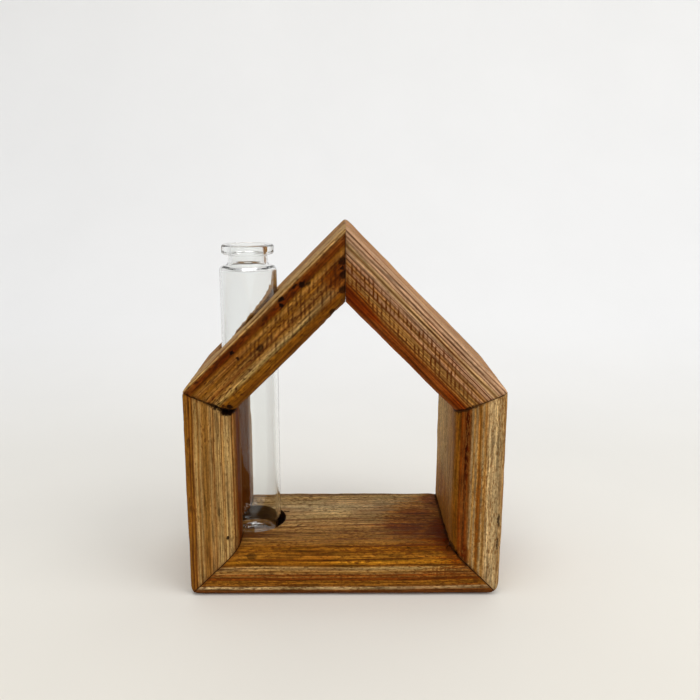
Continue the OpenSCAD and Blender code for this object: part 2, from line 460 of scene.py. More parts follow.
# how the patterns are used, lengths in mm
pine = {
    "rippleHeight": 0.6,
    "crowdScale": 0.3, "crowdReach": 3.4,        # how unevenly the rings are spaced
    "streakAlong": 0.024, "streakScale": 0.6,
    "ringShape": [(0, 0.5), (0.06, 0), (0.55, 0.02), (0.72, 0.5), (0.84, 1), (0.94, 1), (1, 0.5)],
    "fineGap": 0.41, "fineShare": 0.7,           # a second, finer and weaker set of rings
    "fadeLow": 0.42, "fadeHigh": 0.62, "fadeStep": 0.2,
    "faceStart": 2.5, "faceFull": 0.7,           # how near the front or back counts as that face
    "fibreSpread": 0.14, "mottleSpread": 0.16,   # how far from one half each noise usually strays
    "streakSpread": 0.18, "streakDark": 0.84, "streakLight": 1.14,
    "cloudStops": (0.3, 0.5, 0.7),
    # how far, how finely and how roughly the edges of stains, knots and joints stray
    "wobble": 2.4, "wobbleScale": 0.7, "wobbleRough": 0.7,
    "stainCore": 0.5, "stainStreak": 1.6, "teaAt": 0.45, "markCore": 0.62,
    "dashLevel": 0.83, "dashEdge": 0.05, "dashByCloud": -0.35, "dashByStain": -0.12,
    "sawGap": 1.5, "sawStray": 2, "sawStrayScale": 0.8, "sawByCloud": 1.2,
    "sawEdge": (1.9, 1.2), "sawLine": (0.3, 0.85),
    "rub": (0.56, 0.3, 0.33), "rubStops": (0.42, 0.56), "rubLeft": 0.15,   # in the frame's axes
    "cleanOuter": (0.8, 2.2),                    # joints show from this far under the outer face
    "frayIn": (6, 13), "frayDeep": (0.75, 0.45),
    "soakDeep": 1.4, "soakPast": 0.2, "glueAndGapShadeDeep": (0.22, 0.06),
    "boreFade": (1.4, 0.7), "boreRim": (0.5, 0.3),
    "dullEarly": 0.56, "dullLate": 0.42, "sheen": 0.02,
    "reliefDeep": 0.25, "reliefShare": 0.7, "ringProud": 0.35, "dirtCut": -0.9,
}
waveOnce = 0.31416  # a wave texture with this scale repeats once in one unit of its vector


def waxedPine(name, plan):
    # reclaimed pine, sawn, sanded by hand and waxed dark: dull gloss, hard late wood in thin dark
    # lines, soft early wood between, saw scratches that hold the stain, knots and dirty nail holes
    grain = plan["grain"]
    seed = plan["seed"]
    material, tree, shader, place = newMaterial(name)
    # board millimetres: x along the board, y back from its front face, z in from its outer face
    heading = math.radians(plan["heading"])
    x, z = plan["start"]
    shift = Matrix.Rotation(heading, 3, "Y") @ Vector((x, 0, z))
    inBoard = addNode(tree, "ShaderNodeMapping", {
        "Vector": place, "Scale": (1 / mm, 1 / mm, 1 / mm), "Rotation": (0, heading, 0),
        "Location": (-shift.x, houseShape["depth"] / 2, -shift.z)})
    alongBoard, behindFront, underOuter = addNode(tree, "ShaderNodeSeparateXYZ", {0: inBoard}).outputs

    def tone(key):
        return hexColour(tones[key])

    def pattern(key):
        # one of the wood's own patterns, as a value that strays about one half
        often, ownSeed, detail, roughness = patterns[key]
        stretched = addNode(tree, "ShaderNodeVectorMath", {0: inBoard, 1: often}, operation="MULTIPLY")
        return addNode(tree, "ShaderNodeTexNoise", {
            "Vector": stretched, "W": seed + ownSeed, "Scale": 1, "Detail": detail, "Roughness": roughness},
            noise_dimensions="4D")

    # growth layers: nearly flat sheets that lean, tilt and wander a few millimetres along the board
    sheet = addNode(tree, "ShaderNodeVectorMath", {0: inBoard, 1: (grain["lean"], grain["tilt"], 1)},
                    operation="DOT_PRODUCT").outputs["Value"]
    layer = addNode(tree, "ShaderNodeMath", {0: pattern("drift"), 1: grain["wander"], 2: sheet},
                    operation="MULTIPLY_ADD")
    layer = addNode(tree, "ShaderNodeMath", {0: pattern("ripple"), 1: pine["rippleHeight"], 2: layer},
                    operation="MULTIPLY_ADD")
    # broad colour of each group of rings
    first, last = grain["bands"][0][0], grain["bands"][-1][0]
    middle = (grain["wander"] + pine["rippleHeight"]) / 2
    bandPlace = addNode(tree, "ShaderNodeMapRange", {
        "Value": layer, "From Min": middle + first, "From Max": middle + last})
    bands = addNode(tree, "ShaderNodeValToRGB", {0: bandPlace}, stops=[
        ((at - first) / (last - first), tone(key)) for at, key in grain["bands"]])
    # late wood: thin dark lines, unevenly spaced, that fade out and come back
    crowd = addNode(tree, "ShaderNodeTexNoise", {"W": layer, "Scale": pine["crowdScale"], "Detail": 2},
                    noise_dimensions="1D")
    unevenLayer = addNode(tree, "ShaderNodeMath", {0: crowd, 1: pine["crowdReach"], 2: layer},
                          operation="MULTIPLY_ADD")
    layerPoint = addNode(tree, "ShaderNodeCombineXYZ", {0: unevenLayer})
    streakAlong = addNode(tree, "ShaderNodeMath", {0: alongBoard, 1: pine["streakAlong"]},
                          operation="MULTIPLY")
    streakPlace = addNode(tree, "ShaderNodeCombineXYZ", {0: layer, 1: streakAlong})
    streaks = addNode(tree, "ShaderNodeTexNoise", {
        "Vector": streakPlace, "W": seed, "Scale": pine["streakScale"], "Detail": 3}, noise_dimensions="4D")
    ringMask = None
    for gap, share in ((grain["ringGap"], 1), (grain["ringGap"] * pine["fineGap"], pine["fineShare"])):
        rings = addNode(tree, "ShaderNodeTexWave", {"Vector": layerPoint, "Scale": waveOnce / gap},
                        wave_type="BANDS", bands_direction="X", wave_profile="SAW")
        lateWood = addNode(tree, "ShaderNodeValToRGB", {0: rings.outputs[1]}, stops=[
            (at, (dark, dark, dark, 1)) for at, dark in pine["ringShape"]])
        fade = pine["fadeStep"] * share
        ringStrength = addNode(tree, "ShaderNodeMapRange", {
            "Value": streaks, "From Min": pine["fadeHigh"] - fade, "From Max": pine["fadeLow"] + fade,
            "To Min": grain["ringWeak"] * share, "To Max": grain["ringStrong"] * share})
        lines = addNode(tree, "ShaderNodeMath", {0: lateWood, 1: ringStrength}, operation="MULTIPLY")
        if ringMask:
            lines = addNode(tree, "ShaderNodeMath", {0: lines, 1: ringMask}, operation="MAXIMUM")
        ringMask = lines
    faceAt = houseShape["depth"] / 2
    fromMiddle = addNode(tree, "ShaderNodeMath", {0: behindFront, 1: faceAt}, operation="SUBTRACT")
    fromMiddle = addNode(tree, "ShaderNodeMath", {0: fromMiddle}, operation="ABSOLUTE")
    onFace = addNode(tree, "ShaderNodeMapRange", {
        "Value": fromMiddle, "From Min": faceAt - pine["faceStart"], "From Max": faceAt - pine["faceFull"]})
    ringShow = addNode(tree, "ShaderNodeMapRange", {"Value": onFace, "To Min": grain["ringAside"]})
    ringMask = addNode(tree, "ShaderNodeMath", {0: ringMask, 1: ringShow}, operation="MULTIPLY")
    # a mix node takes its two colours at sockets 6 and 7 and gives the mixed one at output 2
    ringed = addNode(tree, "ShaderNodeMix", {0: ringMask, 6: bands, 7: tone(grain["lateTone"])},
                     data_type="RGBA").outputs[2]
    # fibres, streaks and mottle each lighten and darken the rings a little
    fibres = pattern("fibre")
    shade = None
    for value, spread, darkest, lightest in (
            (fibres, pine["fibreSpread"], 1 - grain["fibre"], 1 + grain["fibre"]),
            (streaks, pine["streakSpread"], pine["streakDark"], pine["streakLight"]),
            (pattern("mottle"), pine["mottleSpread"], 1 - grain["mottle"], 1 + grain["mottle"])):
        layerTone = addNode(tree, "ShaderNodeMapRange", {
            "Value": value, "From Min": 0.5 - spread, "From Max": 0.5 + spread,
            "To Min": darkest, "To Max": lightest})
        if shade:
            layerTone = addNode(tree, "ShaderNodeMath", {0: shade, 1: layerTone}, operation="MULTIPLY")
        shade = layerTone
    threaded = addNode(tree, "ShaderNodeVectorMath", {0: ringed, "Scale": shade}, operation="SCALE")
    # stain that took unevenly: golden, grey and brown clouds
    clouds = pattern("cloud")
    cloudTones = [hexColour(grain[key]) for key in ("cloudDark", "cloudMid", "cloudLight")]
    cloudTint = addNode(tree, "ShaderNodeValToRGB", {0: clouds},
                        stops=list(zip(pine["cloudStops"], cloudTones)))
    clouded = addNode(tree, "ShaderNodeMix", {0: grain["cloudShare"], 6: threaded, 7: cloudTint},
                      data_type="RGBA", blend_type="MULTIPLY").outputs[2]
    # ragged edges for stains, knots and joints
    wobbleNoise = addNode(tree, "ShaderNodeTexNoise", {
        "Vector": inBoard, "Scale": pine["wobbleScale"], "Detail": 4, "Roughness": pine["wobbleRough"]})
    wobble = addNode(tree, "ShaderNodeVectorMath", {
        0: wobbleNoise.outputs[1], 1: [pine["wobble"]] * 3, 2: inBoard}, operation="MULTIPLY_ADD")
    wobbleShift = pine["wobble"] / 2  # noise is about one half, so the wobble moves everything this far

    def spots(places, inner, streaky):
        # soft-edged patches, the strongest wins where two meet
        found = None
        for x, depth, z, along, across, strength in places:
            centre = (x + wobbleShift, depth + wobbleShift, z + wobbleShift)
            radii = (along, across, across)
            spot = addNode(tree, "ShaderNodeMapping", {
                "Vector": wobble, "Scale": [1 / radius for radius in radii],
                "Location": [-at / radius for at, radius in zip(centre, radii)]})
            away = addNode(tree, "ShaderNodeVectorMath", {0: spot}, operation="LENGTH").outputs["Value"]
            away = addNode(tree, "ShaderNodeMath", {0: fibres, 1: -streaky, 2: away},
                           operation="MULTIPLY_ADD")
            spot = addNode(tree, "ShaderNodeMapRange", {
                "Value": away, "From Min": 1 - streaky / 2, "From Max": inner - streaky / 2,
                "To Max": strength}, interpolation_type="SMOOTHSTEP")
            if found:
                spot = addNode(tree, "ShaderNodeMath", {0: spot, 1: found}, operation="MAXIMUM")
            found = spot
        return found

    # dark water stains that soaked in along the fibres
    stainMask = spots(plan["stains"], pine["stainCore"], pine["stainStreak"])
    stainTint = addNode(tree, "ShaderNodeValToRGB", {0: stainMask}, stops=[
        (0, hexColour("ffffff")), (pine["teaAt"], tone("tea")), (1, tone("stain"))])
    stained = addNode(tree, "ShaderNodeMix", {0: 1, 6: clouded, 7: stainTint},
                      data_type="RGBA", blend_type="MULTIPLY").outputs[2]
    # open pores and dirt: short dark dashes along the grain, in flocks
    flock = addNode(tree, "ShaderNodeMath", {
        0: clouds, 1: pine["dashByCloud"], 2: pine["dashLevel"] - grain["dashCrowd"]},
        operation="MULTIPLY_ADD")
    flock = addNode(tree, "ShaderNodeMath", {0: stainMask, 1: pine["dashByStain"], 2: flock},
                    operation="MULTIPLY_ADD")
    flockEnd = addNode(tree, "ShaderNodeMath", {0: flock, 1: pine["dashEdge"]}, operation="ADD")
    dashMask = addNode(tree, "ShaderNodeMapRange", {
        "Value": pattern("dash"), "From Min": flock, "From Max": flockEnd, "To Max": grain["dashes"]},
        interpolation_type="SMOOTHSTEP")
    # saw scratches: upright lines in one patch of the front and back faces, partly rubbed away
    scratches = addNode(tree, "ShaderNodeTexWave", {
        "Vector": place, "Scale": waveOnce / (pine["sawGap"] * mm), "Distortion": pine["sawStray"],
        "Detail": 2, "Detail Scale": pine["sawStrayScale"]},
        wave_type="BANDS", bands_direction="X", wave_profile="SIN")
    patchX, patchZ, halfLong, halfWide = grain["sawPatch"]
    patch = addNode(tree, "ShaderNodeMapping", {
        "Vector": inBoard, "Scale": (1 / halfLong, 0, 1 / halfWide),
        "Location": (-patchX / halfLong, 0, -patchZ / halfWide)})
    reach = addNode(tree, "ShaderNodeVectorMath", {0: patch}, operation="LENGTH").outputs["Value"]
    reach = addNode(tree, "ShaderNodeMath", {0: clouds, 1: pine["sawByCloud"], 2: reach},
                    operation="MULTIPLY_ADD")
    patchMask = addNode(tree, "ShaderNodeMapRange", {
        "Value": reach, "From Min": pine["sawEdge"][0], "From Max": pine["sawEdge"][1],
        "To Max": grain["sawDark"]}, interpolation_type="SMOOTHSTEP")
    scratchMask = addNode(tree, "ShaderNodeMapRange", {
        "Value": scratches.outputs[1], "From Min": pine["sawLine"][0], "From Max": pine["sawLine"][1],
        "To Max": patchMask}, interpolation_type="SMOOTHSTEP")
    scratchMask = addNode(tree, "ShaderNodeMath", {0: scratchMask, 1: onFace}, operation="MULTIPLY")
    rubPlace = addNode(tree, "ShaderNodeVectorMath", {0: place, 1: [often / mm for often in pine["rub"]]},
                       operation="MULTIPLY")
    rubbed = addNode(tree, "ShaderNodeTexNoise", {"Vector": rubPlace, "W": seed, "Scale": 1, "Detail": 3},
                     noise_dimensions="4D")
    leftIn = addNode(tree, "ShaderNodeMapRange", {
        "Value": rubbed, "From Min": pine["rubStops"][0], "From Max": pine["rubStops"][1],
        "To Min": pine["rubLeft"]})
    scratchMask = addNode(tree, "ShaderNodeMath", {0: scratchMask, 1: leftIn}, operation="MULTIPLY")
    # end grain along the mitres drinks more stain; the joint itself is a thin dark line, partly dark glue
    # and partly painted shade standing in for the shade in the closed gap
    innerHalf = addNode(tree, "ShaderNodeMapRange", {
        "Value": underOuter, "From Min": pine["frayIn"][0], "From Max": pine["frayIn"][1]})
    soakMask = None
    glueAndGapShade = None
    for end in (0, 1):
        point, normal = endCuts(plan, end)[0]
        inside = addNode(tree, "ShaderNodeVectorMath", {0: wobble, 1: normal},
                         operation="DOT_PRODUCT").outputs["Value"]
        edge = (point + Vector([wobbleShift] * 3)).dot(normal)
        soaked = addNode(tree, "ShaderNodeMapRange", {
            "Value": inside, "From Min": edge - pine["soakDeep"], "From Max": edge + pine["soakPast"],
            "To Max": grain["mitreDark"]}, interpolation_type="SMOOTHSTEP")
        straight = addNode(tree, "ShaderNodeVectorMath", {0: inBoard, 1: normal},
                           operation="DOT_PRODUCT").outputs["Value"]
        line = point.dot(normal)
        endGlueAndGapShade = addNode(tree, "ShaderNodeMapRange", {
            "Value": straight, "From Min": line - pine["glueAndGapShadeDeep"][0],
            "From Max": line - pine["glueAndGapShadeDeep"][1], "To Max": plan["glueAndGapShadeDark"][end]})
        if plan["frayDark"][end]:
            # splinters torn out along the joint, full of old dirt
            frayed = addNode(tree, "ShaderNodeMapRange", {
                "Value": inside, "From Min": edge - pine["frayDeep"][0],
                "From Max": edge - pine["frayDeep"][1], "To Max": plan["frayDark"][end]})
            frayed = addNode(tree, "ShaderNodeMath", {0: frayed, 1: innerHalf}, operation="MULTIPLY")
            endGlueAndGapShade = addNode(tree, "ShaderNodeMath", {0: frayed, 1: endGlueAndGapShade}, operation="MAXIMUM")
        if soakMask:
            soaked = addNode(tree, "ShaderNodeMath", {0: soaked, 1: soakMask}, operation="MAXIMUM")
            endGlueAndGapShade = addNode(tree, "ShaderNodeMath", {0: endGlueAndGapShade, 1: glueAndGapShade}, operation="MAXIMUM")
        soakMask = soaked
        glueAndGapShade = endGlueAndGapShade
    # on the outer faces the joints were sanded clean
    joined = addNode(tree, "ShaderNodeMapRange", {
        "Value": underOuter, "From Min": pine["cleanOuter"][0], "From Max": pine["cleanOuter"][1]})
    soakMask = addNode(tree, "ShaderNodeMath", {0: soakMask, 1: joined}, operation="MULTIPLY")
    glueAndGapShade = addNode(tree, "ShaderNodeMath", {0: glueAndGapShade, 1: joined}, operation="MULTIPLY")
    dark = addNode(tree, "ShaderNodeMath", {0: dashMask, 1: scratchMask}, operation="MAXIMUM")
    dark = addNode(tree, "ShaderNodeMath", {0: dark, 1: soakMask}, operation="MAXIMUM")
    wood = addNode(tree, "ShaderNodeMix", {0: dark, 6: stained, 7: tone(grain["dirt"])},
                   data_type="RGBA").outputs[2]
    # painted shade: the drilled wall of the roof hole, the channel and the seat is painted dark, as the
    # hollow would be shaded; the flat floor of the seat keeps the wood's colour
    if plan["bored"]:
        bore = houseShape["boreRadius"]
        fromAxis = addNode(tree, "ShaderNodeVectorMath", {
            0: place, 1: (-houseShape["boreX"] * mm, 0, 0)}, operation="ADD")
        fromAxis = addNode(tree, "ShaderNodeVectorMath", {0: fromAxis, 1: (1 / mm, 1 / mm, 0)},
                           operation="MULTIPLY")
        fromAxis = addNode(tree, "ShaderNodeVectorMath", {0: fromAxis}, operation="LENGTH").outputs["Value"]
        paintedBoreShade = addNode(tree, "ShaderNodeMapRange", {
            "Value": fromAxis, "From Min": bore - pine["boreFade"][0],
            "From Max": bore - pine["boreFade"][1], "To Max": grain["boreShadeStrength"]})
        rim = addNode(tree, "ShaderNodeMapRange", {
            "Value": fromAxis, "From Min": bore + pine["boreRim"][0],
            "From Max": bore + pine["boreRim"][1]})
        paintedBoreShade = addNode(tree, "ShaderNodeMath", {0: paintedBoreShade, 1: rim}, operation="MULTIPLY")
        wood = addNode(tree, "ShaderNodeMix", {0: paintedBoreShade, 6: wood, 7: tone(grain["boreShadeTone"])},
                       data_type="RGBA").outputs[2]
    # knots, dirty nail holes, the chips' hollows, darkened with dirt and painted shade, and the glue lines
    # with their painted shade
    marksGlueAndShade = addNode(tree, "ShaderNodeMath", {0: spots(plan["marks"], pine["markCore"], 0), 1: glueAndGapShade},
                   operation="MAXIMUM")
    wood = addNode(tree, "ShaderNodeMix", {0: marksGlueAndShade, 6: wood, 7: tone("ink")}, data_type="RGBA").outputs[2]
    # wax: a little duller on the soft early wood
    gloss = addNode(tree, "ShaderNodeMapRange", {
        "Value": ringMask, "To Min": pine["dullEarly"], "To Max": pine["dullLate"]})
    # relief: late wood stands 0.1 mm proud, pores and scratches are cut in
    height = addNode(tree, "ShaderNodeMath", {0: ringMask, 1: pine["ringProud"], 2: fibres},
                     operation="MULTIPLY_ADD")
    height = addNode(tree, "ShaderNodeMath", {0: dark, 1: pine["dirtCut"], 2: height},
                     operation="MULTIPLY_ADD")
    bump = addNode(tree, "ShaderNodeBump", {
        "Height": height, "Strength": pine["reliefShare"], "Distance": pine["reliefDeep"] * mm})
    setInputs(tree, shader, {
        "Base Color": wood, "Roughness": gloss, "Specular IOR Level": pine["sheen"], "Normal": bump})
    return material


# each board's plan is in its own millimetres: along the board, back from its front face, in from its
# outer face; chips add half length, half width and depth, marks and stains half length, half width and
# strength; brad pits are in the frame's millimetres; bands give the wood's colour at a growth layer
sillPlan = {
    "node": "sill", "slot": "sill_wood", "seed": 4, "ragged": (0.35, 0.5),
    "frayDark": (0, 0.6), "glueAndGapShadeDark": (0.95, 0.95),
    "start": (-59.5, 0), "heading": 0, "length": 119, "mitres": (45, 45), "corners": (4.8, 6.2),
    "bored": True, "voxel": 0.6,
    "chips": [
        (99.6, 2, 18.6, 1.6, 4, 1), (99.5, 7, 19, 1.3, 5, 0.8), (100, 56, 19, 3, 1.5, 1.2),
        (35, 35.5, 19.3, 1.4, 0.7, 0.6), (41, 22, 19.3, 1.1, 0.6, 0.6),
    ],
    # the marks at 97.6, 35 and 41 along paint the chips' hollows dark: partly dirt, partly painted shade
    "marks": [
        (23.8, 0.8, 16.4, 2.6, 1.4, 0.55), (84, 2.8, 19, 2, 1.2, 0.6), (97.6, 56, 19, 2.6, 1.3, 0.95),
        (35, 35, 19, 1.6, 0.9, 0.9), (41, 22, 19, 1.3, 0.8, 0.8),
    ],
    "stains": [
        (104, 16, 19, 15, 22, 1), (98, 26, 19, 30, 30, 0.5), (84, 20, 19, 12, 5, 0.75),
        (90, 34, 19, 12, 5, 0.7), (100, 46, 19, 10, 12, 0.7), (26, 4, 15, 5, 3, 0.4),
        (62, 0, 8.6, 50, 0.9, 0.3),
    ],
    "bradPits": [],
    "grain": {
        "lean": -0.006, "tilt": 0.36, "wander": 3.4,
        "ringGap": 1.9, "ringWeak": 0.3, "ringStrong": 0.95, "ringAside": 1, "lateTone": "cocoa",
        "fibre": 0.6, "mottle": 0.34, "dirt": "cocoa", "dashCrowd": 0.11, "dashes": 0.75,
        "cloudDark": "b07a50", "cloudMid": "fcfaf4", "cloudLight": "fff0c8", "cloudShare": 0.7,
        "sawPatch": (98, 10, 9, 3), "sawDark": 0.7, "mitreDark": 0.5,
        # painted shade in the seat and its hole: the drilled wall is painted nearly black
        "boreShadeStrength": 0.95, "boreShadeTone": "ink",
        "bands": [
            (-1, "cocoa"), (2.4, "umber"), (3.1, "cream"), (3.5, "cream"), (4, "umber"), (5, "gold"),
            (5.6, "amber"), (6.1, "gold"), (6.8, "russet"), (7.4, "rust"), (8, "honey"), (8.6, "rust"),
            (9.3, "tan"), (9.9, "honey"), (10.5, "tan"), (11.1, "straw"), (11.7, "wheat"),
            (12.3, "honey"), (12.9, "amber"), (14, "ochre"), (15.2, "ochre"), (16.6, "gold"),
            (18, "amber"), (20, "amber"), (22.6, "honey"), (26, "tan"), (29, "sand"), (33, "cream"),
            (37, "wheat"), (41, "cream"),
        ],
    },
}
finishBoard("Sill_board", sillPlan)

leftPostPlan = {
    "node": "left_post", "slot": "left_post_wood", "seed": 11, "ragged": (1.1, 0.3),
    "frayDark": (1, 0), "glueAndGapShadeDark": (0.9, 0.95),
    "start": (-59.5, 81), "heading": 270, "length": 81, "mitres": (67.5, 45), "corners": (3, 4.8),
    "bored": True, "voxel": 0.55,
    "chips": [
        (7.2, 1.6, 16.8, 1.4, 3.4, 2.2), (6.4, 0.4, 13.4, 0.8, 1.8, 1.4), (5, 0.3, 11.2, 0.8, 1.1, 1.2),
        (3.7, 0.2, 8.2, 0.7, 0.9, 0.9), (2.6, 0.2, 5.6, 0.5, 0.8, 0.8),
    ],
    # the marks at 7.4 and 5.6 along paint the chips' hollows dark as painted shade
    "marks": [
        (56.8, 0, 15.4, 1.1, 0.8, 0.95), (46.2, 0, 12.3, 2.4, 0.9, 0.4), (7.4, 1.4, 16.8, 1.9, 4, 1),
        (19, 0.2, 1.8, 2.4, 1, 0.5), (44, 0, 1.6, 4, 0.8, 0.45), (5.6, 0, 12.4, 0.9, 1.4, 0.9),
    ],
    "stains": [(40, 29, 12, 80, 16, 1), (40, 8, 20, 70, 6, 0.7)],
    "bradPits": [(-59, -19.33, 8, -90), (-59, 19.33, 8, -90)],
    "grain": {
        "lean": 0.004, "tilt": 0.4, "wander": 2.6,
        "ringGap": 1.5, "ringWeak": 0.35, "ringStrong": 0.95, "ringAside": 1, "lateTone": "cocoa",
        "fibre": 0.52, "mottle": 0.24, "dirt": "cocoa", "dashCrowd": 0.055, "dashes": 0.6,
        "cloudDark": "c09a70", "cloudMid": "d8d6d0", "cloudLight": "fff4dc", "cloudShare": 0.6,
        "sawPatch": (30, 12, 20, 5), "sawDark": 0.12, "mitreDark": 0.55,
        # painted shade in the channel: its drilled wall is painted dark russet
        "boreShadeStrength": 0.8, "boreShadeTone": "russet",
        "bands": [
            (-1, "umber"), (0.8, "amber"), (1.6, "gold"), (2.3, "umber"), (2.9, "gold"), (3.5, "umber"),
            (4.1, "tan"), (4.8, "straw"), (5.5, "honey"), (6.1, "straw"), (6.8, "tan"), (7.4, "honey"),
            (8.2, "honey"), (9, "honey"), (9.7, "tan"), (10.2, "straw"), (10.8, "tan"), (11.4, "tan"),
            (12.6, "straw"), (13.3, "straw"), (14, "straw"), (14.8, "tan"), (15.6, "sand"),
            (17, "wheat"), (19, "tan"), (23, "umber"), (27, "honey"), (31, "tan"), (36, "honey"),
            (41, "tan"),
        ],
    },
}
finishBoard("Left_post_board", leftPostPlan)

rightPostPlan = {
    "node": "right_post", "slot": "right_post_wood", "seed": 23, "ragged": (0.5, 0.45),
    "frayDark": (0.5, 0.7), "glueAndGapShadeDark": (0.95, 0.9),
    "start": (59.5, 0), "heading": 90, "length": 81, "mitres": (45, 67.5), "corners": (6.2, 3),
    "bored": False, "voxel": 0.55,
    "chips": [
        (31, 0.6, 0.6, 2.6, 1, 0.8), (21.6, 0.6, 0.6, 2.2, 1, 0.8), (16.6, 1.2, 17.4, 1.6, 1.6, 1.2),
        (19.6, 4, 18.8, 1.2, 3.2, 1),
    ],
    # the marks at 31, 21.6 and 18 along paint the chips' hollows dark: partly dirt, partly painted shade
    "marks": [(31, 0.3, 1.5, 3.6, 0.9, 0.8), (21.6, 0.3, 1.5, 3.2, 0.9, 0.8), (18, 4, 18.5, 3, 4, 0.7)],
    "stains": [(20, 30, 19, 26, 30, 0.5), (34, 0, 9.6, 26, 1.3, 0.5), (66, 0, 14.6, 26, 1.1, 0.7),
               (17, 0, 14, 5, 2, 0.6)],
    "bradPits": [(59, -19.33, 8, 90), (59, 19.33, 8, 90)],
    "grain": {
        "lean": -0.01, "tilt": 0.34, "wander": 2.4,
        "ringGap": 2.1, "ringWeak": 0.1, "ringStrong": 0.5, "ringAside": 0.8, "lateTone": "umber",
        "fibre": 0.56, "mottle": 0.4, "dirt": "umber", "dashCrowd": 0.1, "dashes": 0.7,
        "cloudDark": "c8a070", "cloudMid": "f2f2ec", "cloudLight": "fff6e0", "cloudShare": 0.55,
        "sawPatch": (40, 9, 20, 5), "sawDark": 0.12, "mitreDark": 0.5,
        "bands": [
            (-1, "honey"), (2, "drift"), (3.5, "khaki"), (6, "khaki"), (7.4, "honey"), (8.4, "drift"),
            (9.2, "honey"), (9.7, "amber"), (10.2, "tan"), (10.8, "drift"), (11.6, "honey"),
            (12.2, "drift"), (13, "umber"), (13.8, "russet"), (14.6, "soot"), (15.2, "russet"),
            (16.6, "russet"), (17.6, "amber"), (18.5, "amber"), (23, "tan"), (27, "sand"), (33, "wheat"),
            (37, "wheat"), (41, "sand"),
        ],
    },
}
finishBoard("Right_post_board", rightPostPlan)

leftRafterPlan = {
    "node": "left_rafter", "slot": "left_rafter_wood", "seed": 37, "ragged": (0.2, 1.1),
    "frayDark": (0, 1), "glueAndGapShadeDark": (0.3, 0.8),
    "start": (0, 140.5), "heading": 225, "length": 84.146, "mitres": (45, 67.5), "corners": (1.5, 3),
    "bored": True, "voxel": 0.56,
    "chips": [
        (33.8, 0.4, 1.7, 0.9, 1.1, 0.8), (35.3, 0.2, 3.3, 0.8, 1, 0.7), (60.2, 0, 2.9, 1, 1, 0.8),
        (60.3, 0, 5.5, 0.7, 0.8, 0.6), (26.2, 0, 2.9, 1.8, 0.7, 1), (76, 0.8, 18.5, 2.4, 2.6, 1.5),
        (22, 4.6, 19, 0.9, 2, 0.7), (24.6, 4.6, 19, 1.3, 2.4, 0.9), (28.4, 4.6, 19, 1, 2, 0.7),
        (31.5, 4.8, 19, 0.8, 1.6, 0.6), (74.2, 58, 18.6, 3, 2, 1), (40, 57.6, 0.4, 3, 1.4, 0.7),
    ],
    # the marks that sit in chips paint their hollows dark, the one at 75.6 along the dark void at the
    # ridge: partly dirt, partly painted shade
    "marks": [
        (25, 0, 3.2, 1.9, 1.3, 0.95), (27.4, 0, 2, 1.6, 0.9, 0.9), (23.2, 0, 4.8, 1.3, 0.8, 0.85),
        (33.8, 0, 1.7, 1.4, 1.2, 1), (35.3, 0, 3.3, 1.2, 1, 1), (60.2, 0, 2.9, 1.4, 1, 1),
        (60.3, 0, 5.5, 0.9, 0.7, 0.9), (51.8, 0, 8.7, 2, 1.3, 0.75), (9, 0, 7.6, 2.2, 1.5, 0.85),
        (12, 0, 11, 2, 1.5, 0.85), (16.1, 0, 14.8, 2, 1.5, 0.8), (10.8, 0, 9.2, 0.9, 0.8, 0.9),
        (24.6, 2, 18.4, 1.6, 2.4, 0.8), (75.6, 0.6, 17.2, 1.3, 2.8, 0.95), (43, 0, 2.6, 1.6, 0.7, 0.5),
    ],
    "stains": [(30, 0, 3, 20, 1.8, 0.4), (12, 0, 11, 9, 7, 0.6), (62, 0, 2, 20, 1.6, 0.4),
               (50, 58, 12, 26, 6, 0.4)],
    "bradPits": [(-52.5, -19.33, 86.5, 0), (-52.5, 19.33, 86.5, 0), (-6.01, -19.33, 134.49, -45)],
    "grain": {
        "lean": 0.012, "tilt": -0.3, "wander": 2.6,
        "ringGap": 2, "ringWeak": 0.3, "ringStrong": 0.95, "ringAside": 0.8, "lateTone": "cocoa",
        "fibre": 0.5, "mottle": 0.36, "dirt": "soot", "dashCrowd": 0.085, "dashes": 0.9,
        "cloudDark": "a87040", "cloudMid": "f0ece6", "cloudLight": "ffeec0", "cloudShare": 0.75,
        "sawPatch": (34, 9, 26, 6), "sawDark": 0.7, "mitreDark": 0.7,
        # painted shade in the roof hole: its drilled wall is painted dark cocoa
        "boreShadeStrength": 0.7, "boreShadeTone": "cocoa",
        "bands": [
            # the layers up to 0.8 lie along the outer face and its rounding: light as the wood's own
            # colour, and lighter still as painted sheen of the grazing light
            (-18, "honey"), (-13, "tan"), (-9, "honey"), (-6, "straw"), (-2, "sand"), (0.8, "straw"),
            (1.5, "umber"), (3.6, "russet"), (4.6, "amber"), (5.8, "honey"), (7.6, "amber"),
            (9, "honey"), (10.5, "umber"), (11.6, "honey"), (12.8, "straw"), (13.8, "olive"),
            (14.8, "amber"), (16, "amber"), (17.4, "amber"), (19, "umber"),
        ],
    },
}
finishBoard("Left_rafter_board", leftRafterPlan)

